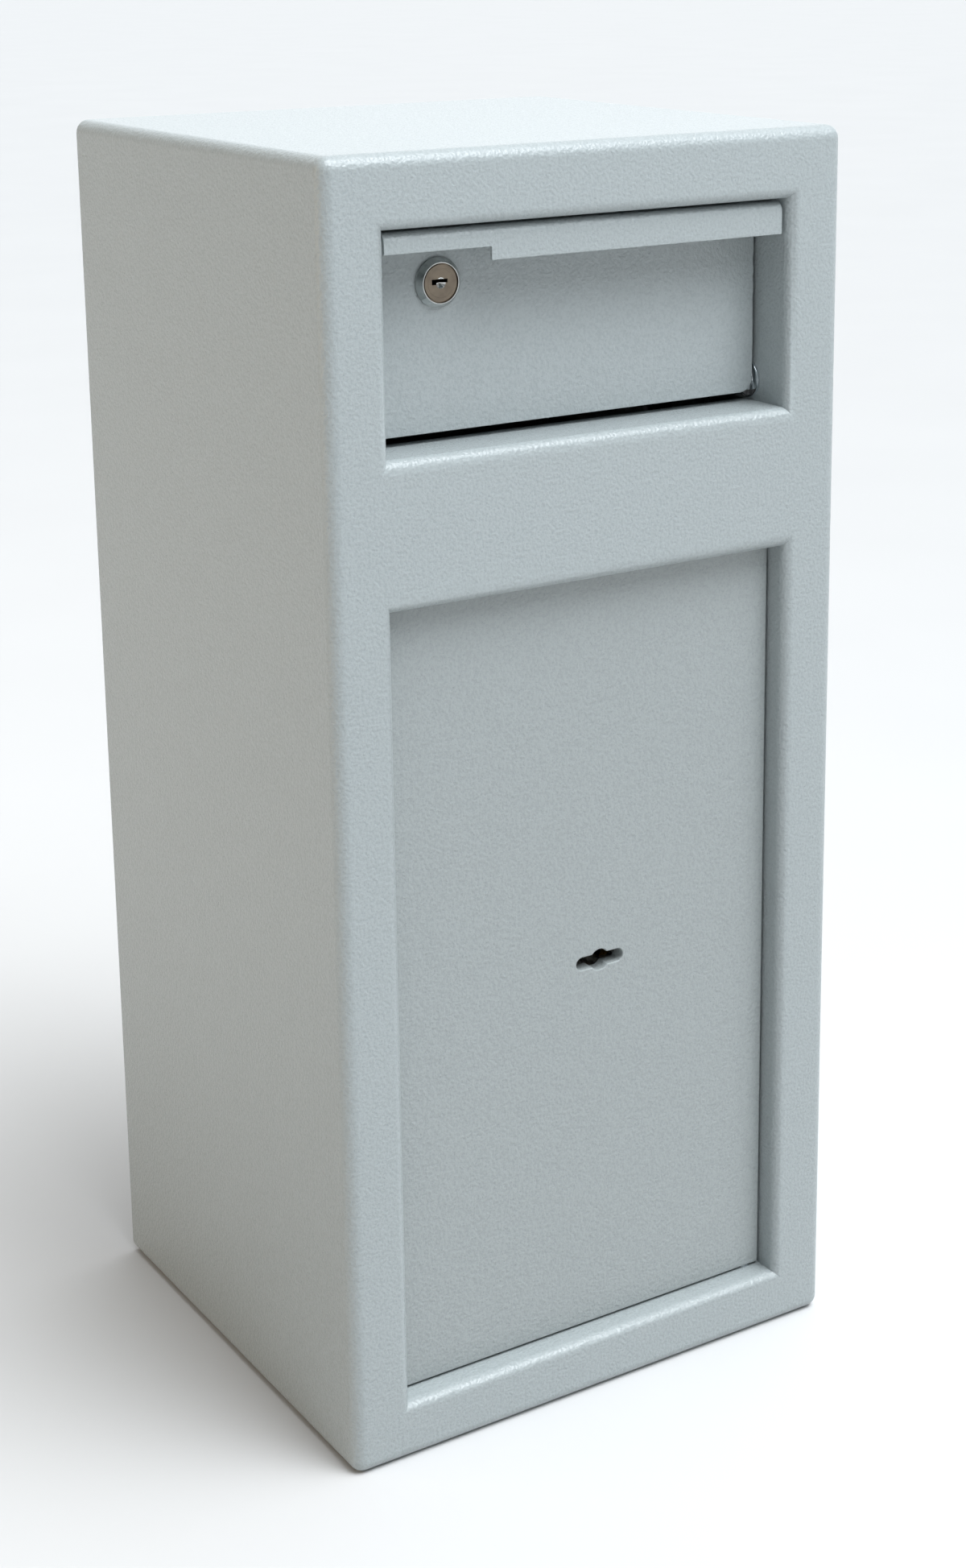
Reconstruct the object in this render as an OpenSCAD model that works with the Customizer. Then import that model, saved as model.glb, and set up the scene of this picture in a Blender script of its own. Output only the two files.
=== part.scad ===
// Book drop box: a welded steel cabinet with a tilting hopper in its upper opening
// and a locked collection door in its lower opening.
// Millimetres, +Z up, the front faces -Y, origin at the middle of the underside.

/* [Cabinet] */
// Width of the cabinet
body_w = 300; // [270:1:380]
// Depth of the cabinet, front to back
body_d = 275; // [220:1:420]
// Height of the cabinet
body_h = 665; // [550:1:900]
// Thickness of the folded steel sheet
sheet_t = 3; // [2:0.1:4]
// Outside radius of the folded outer edges
edge_r = 7; // [5:0.5:9]
// Depth of the front panel's return round the outer edges
front_return_d = 20; // [15:1:30]
// Width of the flanges that the side walls turn in under the cabinet
bottom_flange_w = 18; // [12:1:25]
// Thickness of the base plate
base_t = 5; // [3:0.5:8]

/* [Openings in the front] */
// Width of the front face beside both openings
side_margin = 33; // [28:0.5:40]
// Height of the front face above the hopper opening
top_margin = 35.5; // [28:0.5:45]
// Height of the hopper opening
hopper_open_h = 107; // [100:0.5:130]
// Height of the front face between the two openings
mid_band = 73.5; // [60:0.5:90]
// Height of the front face below the door opening
bottom_margin = 31; // [26:0.5:45]
// Outside radius of the rolled rim round each opening
rim_r = 5; // [4.1:0.1:7]
// Depth of the flange at the top and sides of the hopper opening
hopper_flange_d = 46; // [44:0.5:48]
// Depth of the sill under the hopper
sill_d = 37; // [33:0.5:37]
// Depth of the flange round the door opening
door_flange_d = 26; // [25:0.5:28]

/* [Fixing holes] */
// Diameter of the fixing holes in the base and the back
fixing_d = 12; // [8:0.5:16]
// Distance between the base holes, side to side
base_fix_x = 200; // [140:1:210]
// Distance between the base holes, front to back
base_fix_y = 170; // [110:1:180]
// Distance between the two back holes
back_fix_x = 160; // [100:1:200]
// Height of the back holes above the underside
back_fix_z = 480; // [300:1:520]

/* [Hopper] */
// How far the flap's face stands behind the front
flap_setback = 28; // [26:0.5:30]
// Thickness of the hopper's sheet
hopper_t = 2; // [1.5:0.1:2.5]
// Height of the pivot above the sill
pivot_up = 11; // [11:0.5:14]
// Distance of the pivot behind the flap's face
pivot_back = 6; // [5.5:0.1:7]
// Gap between the flap's lower edge and the sill
flap_sill_gap = 5; // [4.5:0.1:6]
// Gap between the flap and each side of the opening
flap_side_gap = 1.8; // [1.8:0.1:3]
// Gap between the pull lip and the top of the opening
lip_top_gap = 3.5; // [3:0.1:6]
// How far the pull lip stands in front of the flap's face
lip_out = 21; // [15:0.5:24]
// Height of the pull lip's front edge
lip_drop = 14.5; // [12:0.5:18]
// How much lower in height the lip is at its left end
lip_step = 6.5; // [3:0.5:8]
// Length of the low left end of the lip
lip_step_w = 58; // [40:1:70]
// Radius of the flap's lower corners
flap_corner_r = 8; // [3:0.5:9]
// Gap between the hopper's cheeks and the curved baffle
baffle_gap = 4.5; // [4:0.1:8]
// How far the hopper opens, in degrees
hopper_open_deg = 50; // [40:1:52]
// Downward slope of the hopper's rear plate when shut, in degrees
rear_slope_deg = 10; // [5:1:15]
// Diameter of the hopper's pivot pins
pivot_d = 6; // [5:0.5:6]
// Outside diameter of the washer on each pivot pin
pivot_washer_d = 20; // [16:0.5:21]

/* [Flap lock] */
// Distance of the flap lock from the middle, towards the left
flap_lock_x = 74; // [60:1:85]
// Height of the flap lock above the hopper's pivot
flap_lock_up = 66.5; // [62:0.5:67]
// Largest diameter of the lock's tapered collar
collar_d = 24.5; // [23:0.5:27]
// Diameter of the lock's flat face
lock_face_d = 20; // [19:0.5:22]
// Diameter of the lock's threaded barrel
barrel_d = 18; // [17:0.5:19]
// Diameter of the lock's turning plug
plug_d = 14; // [13:0.5:15]
// How far the lock stands out from the flap
lock_out = 4; // [3.5:0.5:8]
// Length of the cam from the plug's axis to its tip
cam_l = 25; // [23:0.5:25]

/* [Door] */
// How far the door's face stands behind the front
door_setback = 14; // [12:0.5:14]
// Thickness of the door plate
door_t = 8; // [7:0.5:8.5]
// Gap round the door
door_gap = 1.3; // [1.2:0.05:1.6]
// Distance of the hinge pins from the door's edge
hinge_in = 8; // [7:0.5:9]
// Diameter of the door's hinge pins
hinge_pin_d = 5; // [4:0.5:5]
// How far each hinge pin enters the door
hinge_pin_in = 15; // [10:1:20]
// Width of the stop strips that the door shuts against
stop_w = 12; // [10:0.5:13]

/* [Door lock] */
// Distance of the keyhole from the middle, towards the hinge
key_x = 9; // [0:1:15]
// Length of the keyhole
keyhole_l = 29; // [26:0.5:32]
// Height of the keyhole's slot
keyhole_h = 7; // [6:0.5:8]
// Diameter of the round middle of the keyhole
keyhole_d = 11.5; // [10:0.5:13]
// Diameter of the round locking bolts
bolt_d = 14; // [12:0.5:15]
// Travel of the locking bolts
bolt_throw = 16; // [12:0.5:16]
// Distance from the ends of the boltwork to the ends of the door
boltwork_margin = 45; // [40:1:60]
// Width of the lock case
lock_case_w = 110; // [110:1:114]
// Height of the lock case
lock_case_h = 64; // [60:1:70]
// Number of levers in the lock
lever_count = 5; // [3:1:6]
// Radial running clearance of every pin and plug
run_gap = 0.05; // [0.02:0.01:0.09]

/* [Hidden] */

$fn = 48;
eps = 1;                 // how far a cutting shape runs past what it cuts

front_y = -body_d / 2;
back_y = body_d / 2;
half_w = body_w / 2;
inner_half_w = half_w - sheet_t;
open_half_w = half_w - side_margin;

hopper_top = body_h - top_margin;
hopper_bottom = hopper_top - hopper_open_h;
door_top = hopper_bottom - mid_band;
door_bottom = bottom_margin;
door_mid = (door_top + door_bottom) / 2;

pivot_y = front_y + flap_setback + pivot_back;
pivot_z = hopper_bottom + pivot_up;
flap_front = front_y + flap_setback;
flap_back = flap_front + hopper_t;
flap_half_w = open_half_w - flap_side_gap;
flap_low = hopper_bottom + flap_sill_gap;
flap_high = hopper_top - lip_top_gap;
pivot_washer_t = 1.5;
cheek_gap = 0.3;         // between a pivot washer and the cheek beside it
cheek_out_x = open_half_w - pivot_washer_t - cheek_gap;
cheek_in_x = cheek_out_x - hopper_t;
baffle_in_r = hopper_top - pivot_z;
cheek_r = baffle_in_r - baffle_gap;
rear_drop = pivot_d / 2 + 1;   // rear plate's upper face below the pivot
baffle_t = 2;
baffle_side_gap = 0.5;
baffle_lip = 6;          // inward lip on the baffle that stops the hopper
baffle_past_lip_deg = 2; // how far the baffle runs on beyond that lip
stop_gap_deg = 0.7;      // free angle left between the lip and the rear plate
stop_lip_in = 8;         // end of the baffle's lip inside each cheek
baffle_tab_in = 10;      // end of the baffle's tab from the side of the opening
baffle_tab_d = 15;       // where the tab starts behind the front
flange_clear = 1;        // between the hopper opening's flange and the baffle's tab
peg_d = 6;
peg_in = 8;              // how far each rest peg reaches inside the cheek
sleeve_d = 12;
sleeve_l = 12;
sleeve_in = 6;           // sleeve's inner end inside the cheek
peg_from_pivot = 80;
rest_gap = 0.4;
pin_in = 1;              // pivot pin's end inside the cheek
pin_out = 6;             // pivot pin's end beyond the flange
pivot_nut_t = 4;
pivot_nut_af = 10;       // across flats

lock_z = pivot_z + flap_lock_up;
cam_t = 2.5;
cam_w = 12;
cam_hub_d = 16;
collar_edge_t = 1.5;     // straight edge of the collar against the flap
lock_nut_t = 5;
lock_nut_af = 24;        // across flats
plug_recess = 0.4;       // plug's face behind the lock's face
keyway_l = 8.4;
keyway_h = 2.2;
keyway_d = 16;
cam_screw_in = 8;        // how far the cam's screw enters the plug
cam_screw_hole = 9;
keeper_t = 2.5;
keeper_w = 24;
keeper_low = 17;         // how far the keeper hangs below the top of the opening
keeper_high = 10;        // how far it reaches above the opening, before the baffle cuts it
keeper_y = front_y + hopper_flange_d + 3.5;
cam_y = keeper_y + keeper_t + 2;
barrel_end = cam_y - 0.6;

door_front = front_y + door_setback;
door_back = door_front + door_t;
door_half_w = open_half_w - door_gap;
door_low = door_bottom + door_gap;
door_high = door_top - door_gap;
hinge_x = door_half_w - hinge_in;
hinge_y = door_front + door_t / 2;
frame_back = front_y + door_flange_d;
seat_gap = 0.3;          // between the door's back and the stop strips
stop_t = 3;
stop_hinge_gap = 1;      // between the strips' ends and the door's swinging edge
stop_inner_x = -open_half_w + stop_w;
hinge_pin_out = 2;       // hinge pin's end beyond the flange
pin_end_gap = 1;         // between a hinge pin's end and its bore's
washer_slack = 0.1;
washer_in = 1;           // thrust washer's diameter under the door's thickness
swing_clear = 3;         // room the open bolts leave beside the stop strip

case_t = 2.5;
case_d = 18;             // inside depth of the lock case
curtain_t = 3;
curtain_d = 34;
layer_gap = 0.5;         // between pieces that slide over each other in the lock
tail_t = 4;
tail_h = 20;
stump_s = 5;             // side of the square stump on the bolt's tail
lever_t = 1;
lever_pitch = 1.25;
lever_pivot_d = 6;
lever_lift_deg = 8;
lever_pivot_in = 12;     // lever pivot from the inside of the case's right wall
lever_end = 7;           // metal beyond the levers' pivot
lever_drop = 20;
lever_rise = 13;
gate_gap = 1.5;          // round the stump in the levers' gates
curtain_tube_d = keyhole_d + 3;
curtain_blind = 3;       // metal left at the end of the key's slot
tail_slack = 0.3;
tail_key_gap = 1;        // between the tail's end and the key's path
stump_gap = 2;           // between the stump and the case's cover
case_post_d = 8;
case_post_in = 5;        // case posts from the outside of the case

guide_t = 8;
guide_h = 26;
guide_back = 4;          // metal of a guide behind its bolt
guide_screw_d = 3;
guide_screw_head_d = 5;
guide_screw_head_t = 2;
guide_screw_l = 10;
guide_screw_in = 3;      // guide screws from the guide's ends
dead_bar_t = 4;
dead_bar_web = 9;
dead_bar_in = 5;         // dead bar's web inside the hinge axis
dead_bar_out = 16;       // how far its flange reaches beyond the hinge axis
dead_bar_gap = 0.8;      // between that flange and the opening's flange
dead_bar_over = 20;      // how far it runs past the boltwork at each end
bolt_point = 2;          // tapered tip of each bolt
bolt_point_d = bolt_d - 4;
bolt_end_in = 28;        // outer bolts from the ends of the boltwork
bolt_axis_y = door_back + 12;
tip_x = stop_inner_x + swing_clear + 1;
guide_x = tip_x + 1;
bolt_bar_t = 5;
bolt_bar_x = guide_x + guide_t + bolt_throw + 1;
boltwork_top = door_high - boltwork_margin;
boltwork_low = door_low + boltwork_margin;
bolt_rise = (boltwork_top - boltwork_low) / 2 - bolt_end_in;
bolt_heights = [door_mid - bolt_rise, door_mid, door_mid + bolt_rise];
case_x0 = key_x - lock_case_w / 2 + 2;
case_x1 = case_x0 + lock_case_w;
case_back = door_back + case_d;
tail_y = door_back + layer_gap + curtain_t + layer_gap;
levers_y = tail_y + tail_t + layer_gap;
lever_axis_x = case_x1 - case_t - lever_pivot_in;
stump_x = case_x0 + case_t + bolt_throw + 9.5;
cover_t = 1.5;
cover_back = max(case_back + case_t + 4, bolt_axis_y + bolt_d / 2 + 4);
cover_x0 = guide_x + guide_t + 0.7;
cover_x1 = case_x1 + 6;
cover_flange = 12;
cover_screw_in = 12;
screw_d = 4;
screw_head_d = 8;
screw_head_t = 2.2;

// general shapes

module both_sides(v = [1, 0, 0]) {
    children();
    mirror(v) children();
}

// Cylinder along +Y from y = 0
module rod_y(d, len) {
    rotate([-90, 0, 0]) cylinder(h = len, d = d);
}

// Cylinder along +X from x = 0
module rod_x(d, len) {
    rotate([0, 90, 0]) cylinder(h = len, d = d);
}

// Box from one corner to the opposite one
module box(low, high) {
    translate(low) cube(high - low);
}

// Quarter round folded edge along +Z, in the +X +Y quarter
module fold(len, r = edge_r, t = sheet_t) {
    rotate_extrude(angle = 90) translate([r - t, 0]) square([t, len]);
}

// Rounded three-way corner of the sheet
module ball_corner() {
    rotate_extrude(angle = 90) intersection() {
        difference() {
            circle(edge_r);
            circle(edge_r - sheet_t);
        }
        square(edge_r);
    }
}

// The cabinet's outer sheet between two depths, round all four edges
module sheet_ring(y0, y1) {
    mid_h = body_h / 2;
    translate([0, 0, mid_h]) {
        both_sides() box([inner_half_w, y0, edge_r - mid_h], [half_w, y1, mid_h - edge_r]);
        both_sides([0, 0, 1]) box([edge_r - half_w, y0, mid_h - sheet_t], [half_w - edge_r, y1, mid_h]);
        both_sides() both_sides([0, 0, 1])
            translate([half_w - edge_r, y1, mid_h - edge_r]) rotate([90, 0, 0]) fold(y1 - y0);
    }
}

// Section of a rolled rim: x is away from the opening, y is depth
module rim_section(depth) {
    translate([rim_r, rim_r]) intersection() {
        difference() {
            circle(rim_r);
            circle(rim_r - sheet_t);
        }
        translate([-rim_r, -rim_r]) square(rim_r);
    }
    translate([0, rim_r]) square([sheet_t, depth - rim_r]);
}

// Prism along Y with a four-cornered outline in X and Z
module mitre(points, depth) {
    translate([0, depth + eps, 0]) rotate([90, 0, 0]) linear_extrude(depth + 2 * eps) polygon(points);
}

// Rolled rim and flange on one upright side of an opening, mitred at both ends
module rim_upright(a, b, depth) {
    m = rim_r + eps;
    intersection() {
        translate([a, 0, 0]) linear_extrude(2 * (b + m), center = true) rim_section(depth);
        mitre([[a - eps, b - eps], [a + m, b + m], [a + m, -b - m], [a - eps, eps - b]], depth);
    }
}

// Rolled rim and flange along the top of an opening, mitred at both ends
module rim_level(a, b, depth) {
    m = rim_r + eps;
    intersection() {
        translate([0, 0, b]) rotate([0, -90, 0]) linear_extrude(2 * (a + m), center = true) rim_section(depth);
        mitre([[-a - m, b + m], [a + m, b + m], [a - eps, b - eps], [eps - a, b - eps]], depth);
    }
}

// The whole rim of an opening
module rim(low, high, side_d, top_d, bottom_d) {
    b = (high - low) / 2;
    translate([0, front_y, (high + low) / 2]) {
        both_sides() rim_upright(open_half_w, b, side_d);
        rim_level(open_half_w, b, top_d);
        mirror([0, 0, 1]) rim_level(open_half_w, b, bottom_d);
    }
}

// Rectangular hole in the front sheet where a rim starts
module rim_hole(low, high) {
    box([-open_half_w - rim_r, front_y - eps, low - rim_r],
        [open_half_w + rim_r, front_y + sheet_t + eps, high + rim_r]);
}

// Slotted round-ended hole along X through a plate, cut along Y
module keyhole(depth, slack = 0) {
    reach = keyhole_l / 2 - keyhole_h / 2;
    translate([0, depth, 0]) rotate([90, 0, 0]) linear_extrude(depth) {
        square([2 * reach, keyhole_h + slack], center = true);
        translate([reach, 0]) circle(d = keyhole_h + slack);
        translate([-reach, 0]) circle(d = keyhole_h + slack);
        circle(d = keyhole_d);
    }
}

// Pan head screw along +Y, its head first
module screw(len) {
    rod_y(screw_head_d, screw_head_t);
    translate([0, screw_head_t, 0]) rod_y(screw_d, len);
}

// cabinet

module casing_wrap() color("#a7adae") difference() {
    sheet_ring(front_y + front_return_d, back_y);
    box([edge_r + bottom_flange_w - half_w, front_y, -eps],
        [half_w - edge_r - bottom_flange_w, back_y + eps, sheet_t + eps]);
}

module front_panel() color("#a9b2b4") {
    mid_h = body_h / 2;
    difference() {
        box([edge_r - half_w, front_y, edge_r], [half_w - edge_r, front_y + sheet_t, body_h - edge_r]);
        rim_hole(hopper_bottom, hopper_top);
        rim_hole(door_bottom, door_top);
    }
    sheet_ring(front_y + edge_r, front_y + front_return_d);
    translate([0, 0, mid_h]) {
        both_sides() translate([half_w - edge_r, front_y + edge_r, edge_r - mid_h])
            mirror([0, 1, 0]) fold(body_h - 2 * edge_r);
        both_sides([0, 0, 1]) translate([half_w - edge_r, front_y + edge_r, mid_h - edge_r])
            mirror([0, 1, 0]) rotate([0, -90, 0]) fold(body_w - 2 * edge_r);
        both_sides() both_sides([0, 0, 1]) translate([half_w - edge_r, front_y + edge_r, mid_h - edge_r])
            mirror([0, 1, 0]) ball_corner();
    }
    difference() {
        rim(hopper_bottom, hopper_top, hopper_flange_d, hopper_flange_d, sill_d);
        translate([-half_w, pivot_y, pivot_z]) rod_x(pivot_d, body_w);
    }
    difference() {
        rim(door_bottom, door_top, door_flange_d, door_flange_d, door_flange_d);
        translate([hinge_x, hinge_y, 0]) cylinder(h = body_h, d = hinge_pin_d);
    }
}

module back_panel() color("#a7adae") difference() {
    mid_h = body_h / 2;
    inner_r = edge_r - sheet_t;
    union() {
        translate([0, back_y, mid_h]) rotate([90, 0, 0]) linear_extrude(sheet_t) difference() {
            square([2 * inner_half_w, body_h - 2 * sheet_t], center = true);
            both_sides() both_sides([0, 1, 0]) translate([half_w - edge_r, mid_h - edge_r]) difference() {
                square(edge_r);
                circle(inner_r);
            }
        }
        box([edge_r + bottom_flange_w - half_w, back_y - sheet_t, 0],
            [half_w - edge_r - bottom_flange_w, back_y, sheet_t]);
    }
    both_sides() translate([back_fix_x / 2, back_y - sheet_t - eps, back_fix_z])
        rod_y(fixing_d, sheet_t + 2 * eps);
}

module base_plate() color("#8f9596") difference() {
    box([edge_r + bottom_flange_w - half_w, front_y + front_return_d, 0],
        [half_w - edge_r - bottom_flange_w, back_y - sheet_t, base_t]);
    for (x = [-1, 1], y = [-1, 1])
        translate([x * base_fix_x / 2, y * base_fix_y / 2, -eps]) cylinder(h = base_t + 2 * eps, d = fixing_d);
}

// what the hopper meets inside the cabinet

module hopper_baffle() color("#9aa1a2") {
    baffle_w = 2 * (inner_half_w - baffle_side_gap);
    first_deg = asin((hopper_flange_d + flange_clear - flap_setback - pivot_back) / baffle_in_r);
    lip_deg = 90 + rear_slope_deg + asin(rear_drop / cheek_r) - hopper_open_deg - stop_gap_deg;
    last_deg = lip_deg + baffle_past_lip_deg;
    tab_y = front_y + hopper_flange_d + flange_clear;
    tab_x = open_half_w - baffle_tab_in;
    translate([0, pivot_y, pivot_z]) rotate([0, 90, 0]) rotate([0, 0, 180 - last_deg])
        rotate_extrude(angle = last_deg - first_deg)
            translate([baffle_in_r, -baffle_w / 2]) square([baffle_t, baffle_w]);
    box([-tab_x, tab_y, hopper_top], [tab_x, tab_y + baffle_t, hopper_top + sheet_t]);
    box([-tab_x, front_y + baffle_tab_d, hopper_top + sheet_t],
        [tab_x, tab_y + baffle_t, hopper_top + sheet_t + baffle_t]);
    translate([0, pivot_y, pivot_z]) rotate([-lip_deg, 0, 0])
        box([stop_lip_in - cheek_in_x, -baffle_t, baffle_in_r - baffle_lip],
            [cheek_in_x - stop_lip_in, 0, baffle_in_r + baffle_t / 2]);
}

module cam_keeper() color("#b9bcbc") intersection() {
    box([-flap_lock_x - keeper_w / 2, keeper_y, hopper_top - keeper_low],
        [-flap_lock_x + keeper_w / 2, keeper_y + keeper_t, hopper_top + keeper_high]);
    translate([-half_w, pivot_y, pivot_z]) rod_x(2 * baffle_in_r, body_w);
}

module hopper_pivot_pins() color("#b9bcbc") both_sides()
    translate([cheek_in_x - pin_in, pivot_y, pivot_z])
        rod_x(pivot_d, open_half_w + sheet_t + pin_out - cheek_in_x);

module hopper_pivot_washers() color("#c4c6c4") both_sides()
    translate([open_half_w - pivot_washer_t, pivot_y, pivot_z]) difference() {
        rod_x(pivot_washer_d, pivot_washer_t);
        translate([-eps, 0, 0]) rod_x(pivot_d, pivot_washer_t + 2 * eps);
    }

module hopper_pivot_nuts() color("#b9bcbc") both_sides()
    translate([open_half_w + sheet_t, pivot_y, pivot_z]) difference() {
        rotate([0, 90, 0]) cylinder(h = pivot_nut_t, d = pivot_nut_af / cos(30), $fn = 6);
        translate([-eps, 0, 0]) rod_x(pivot_d, pivot_nut_t + 2 * eps);
    }

// Places a rest peg just under the shut hopper's rear plate
module at_rest_peg() {
    translate([0, pivot_y, pivot_z]) rotate([-rear_slope_deg, 0, 0])
        translate([0, peg_from_pivot, -rear_drop - hopper_t - rest_gap - sleeve_d / 2]) children();
}

module hopper_rest_pegs() color("#b9bcbc") both_sides()
    at_rest_peg() translate([cheek_in_x - peg_in, 0, 0]) rod_x(peg_d, inner_half_w - cheek_in_x + peg_in);

module hopper_rest_sleeves() color("#26282a") both_sides()
    at_rest_peg() translate([cheek_in_x - sleeve_in, 0, 0]) difference() {
        rod_x(sleeve_d, sleeve_l);
        translate([-eps, 0, 0]) rod_x(peg_d, sleeve_l + 2 * eps);
    }

// hopper

module hopper_flap() color("#a9b2b4") difference() {
    union() {
        box([-flap_half_w, flap_front, flap_low + flap_corner_r], [flap_half_w, flap_back, flap_high]);
        box([flap_corner_r - flap_half_w, flap_front, flap_low],
            [flap_half_w - flap_corner_r, flap_back, flap_low + flap_corner_r]);
        both_sides() translate([flap_half_w - flap_corner_r, flap_back, flap_low + flap_corner_r])
            mirror([0, 0, 1]) rotate([90, 0, 0])
                rotate_extrude(angle = 90) square([flap_corner_r, hopper_t]);
        box([-flap_half_w, flap_front - lip_out, flap_high - hopper_t], [flap_half_w, flap_front, flap_high]);
        box([-flap_half_w, flap_front - lip_out, flap_high - lip_drop + lip_step],
            [-flap_half_w + lip_step_w, flap_front - lip_out + hopper_t, flap_high - hopper_t]);
        box([-flap_half_w + lip_step_w, flap_front - lip_out, flap_high - lip_drop],
            [flap_half_w, flap_front - lip_out + hopper_t, flap_high - hopper_t]);
    }
    translate([-flap_lock_x, flap_front - eps, lock_z]) rod_y(barrel_d, hopper_t + 2 * eps);
}

// Quarter-round cheek plate, welded behind the flap
module cheek_plate() {
    difference() {
        intersection() {
            translate([cheek_in_x, pivot_y, pivot_z]) rod_x(2 * cheek_r, hopper_t);
            box([cheek_in_x - eps, flap_back, 0], [cheek_out_x + eps, back_y, body_h]);
            translate([0, pivot_y, pivot_z]) rotate([-rear_slope_deg, 0, 0])
                box([cheek_in_x - eps, -cheek_r, -rear_drop - hopper_t], [cheek_out_x + eps, body_d, body_d]);
        }
        translate([cheek_in_x - eps, pivot_y, pivot_z]) rod_x(pivot_d + 2 * run_gap, hopper_t + 2 * eps);
    }
}

module hopper_left_cheek() color("#9ea6a6") mirror([1, 0, 0]) cheek_plate();

module hopper_right_cheek() color("#9ea6a6") cheek_plate();

module hopper_rear_plate() color("#9ea6a6") intersection() {
    translate([0, pivot_y, pivot_z]) rotate([-rear_slope_deg, 0, 0])
        box([-cheek_in_x, -cheek_r, -rear_drop - hopper_t], [cheek_in_x, cheek_r, -rear_drop]);
    box([-half_w, flap_back, 0], [half_w, back_y, body_h]);
}

// flap lock

module flap_lock_barrel() color("#a39a8c") translate([-flap_lock_x, flap_front, lock_z]) difference() {
    union() {
        translate([0, -lock_out, 0]) rotate([-90, 0, 0])
            cylinder(h = lock_out - collar_edge_t, d1 = lock_face_d, d2 = collar_d);
        translate([0, -collar_edge_t, 0]) rod_y(collar_d, collar_edge_t);
        rod_y(barrel_d, barrel_end - flap_front);
    }
    translate([0, -lock_out - eps, 0]) rod_y(plug_d + 2 * run_gap, barrel_end - flap_front + lock_out + 2 * eps);
}

module flap_lock_nut() color("#b9bcbc") translate([-flap_lock_x, flap_back, lock_z]) difference() {
    rotate([-90, 0, 0]) cylinder(h = lock_nut_t, d = lock_nut_af / cos(30), $fn = 6);
    translate([0, -eps, 0]) rod_y(barrel_d, lock_nut_t + 2 * eps);
}

module flap_lock_plug() color("#a39a8c") {
    plug_front = flap_front - lock_out + plug_recess;
    plug_l = cam_y - plug_front;
    translate([-flap_lock_x, plug_front, lock_z]) difference() {
        rod_y(plug_d, plug_l);
        box([-keyway_l / 2, -eps, -keyway_h / 2], [keyway_l / 2, keyway_d, keyway_h / 2]);
        translate([0, plug_l - cam_screw_hole, 0]) rod_y(screw_d, cam_screw_hole + eps);
    }
}

module flap_lock_cam() color("#b9bcbc") translate([-flap_lock_x, cam_y, lock_z]) difference() {
    union() {
        rod_y(cam_hub_d, cam_t);
        box([0, 0, -cam_w / 2], [cam_l, cam_t, cam_w / 2]);
    }
    translate([0, -eps, 0]) rod_y(screw_d, cam_t + 2 * eps);
}

module flap_lock_screw() color("#b9bcbc")
    translate([-flap_lock_x, cam_y + cam_t + screw_head_t, lock_z]) mirror([0, 1, 0]) screw(cam_t + cam_screw_in);

// door

module door_stop_frame() color("#8f9596") {
    y0 = door_back + seat_gap;
    y1 = y0 + stop_t;
    end_x = hinge_x - hinge_in - door_t / 2 - stop_hinge_gap;
    box([-open_half_w, y0, door_bottom], [stop_inner_x, y1, door_top]);
    box([stop_inner_x, y0, door_top - stop_w], [end_x, y1, door_top]);
    box([stop_inner_x, y0, door_bottom], [end_x, y1, door_bottom + stop_w]);
}

module door_hinge_pins() color("#b9bcbc")
    for (z = [door_bottom - sheet_t - hinge_pin_out, door_high - hinge_pin_in])
        translate([hinge_x, hinge_y, z])
            cylinder(h = hinge_pin_out + sheet_t + door_gap + hinge_pin_in, d = hinge_pin_d);

module door_thrust_washer() color("#b9bcbc") translate([hinge_x, hinge_y, door_bottom]) difference() {
    cylinder(h = door_gap - washer_slack, d = door_t - washer_in);
    translate([0, 0, -eps]) cylinder(h = door_gap + 2 * eps, d = hinge_pin_d);
}

module door_plate() color("#9ea6a6") difference() {
    box([-door_half_w, door_front, door_low], [door_half_w, door_back, door_high]);
    translate([key_x, door_front - eps, door_mid]) keyhole(door_t + 2 * eps);
    for (z = [door_low - eps, door_high - hinge_pin_in - pin_end_gap])
        translate([hinge_x, hinge_y, z])
            cylinder(h = hinge_pin_in + pin_end_gap + eps, d = hinge_pin_d + 2 * run_gap);
}

module hinge_side_dead_bar() color("#8f9596") {
    behind_frame = frame_back + dead_bar_gap;
    bar_x = hinge_x - dead_bar_in - dead_bar_web;
    low = boltwork_low - dead_bar_over;
    high = boltwork_top + dead_bar_over;
    box([bar_x, door_back, low], [bar_x + dead_bar_web, behind_frame, high]);
    box([bar_x, behind_frame, low], [hinge_x + dead_bar_out, behind_frame + dead_bar_t, high]);
}

module bolt_guides() color("#8f9596") difference() {
    for (z = bolt_heights)
        box([guide_x, door_back, z - guide_h / 2],
            [guide_x + guide_t, bolt_axis_y + bolt_d / 2 + guide_back, z + guide_h / 2]);
    for (z = bolt_heights) {
        translate([guide_x - eps, bolt_axis_y, z]) rod_x(bolt_d + 2 * run_gap, guide_t + 2 * eps);
        for (s = [-1, 1]) translate([guide_x + guide_t / 2, door_back, z + s * (guide_h / 2 - guide_screw_in)])
            rod_y(guide_screw_d, bolt_axis_y - door_back + bolt_d);
    }
}

module bolt_guide_screws() color("#b9bcbc")
    for (z = bolt_heights, s = [-1, 1])
        translate([guide_x + guide_t / 2, bolt_axis_y + bolt_d / 2 + guide_back,
                   z + s * (guide_h / 2 - guide_screw_in)]) {
            rod_y(guide_screw_head_d, guide_screw_head_t);
            mirror([0, 1, 0]) rod_y(guide_screw_d, guide_screw_l);
        }

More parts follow.
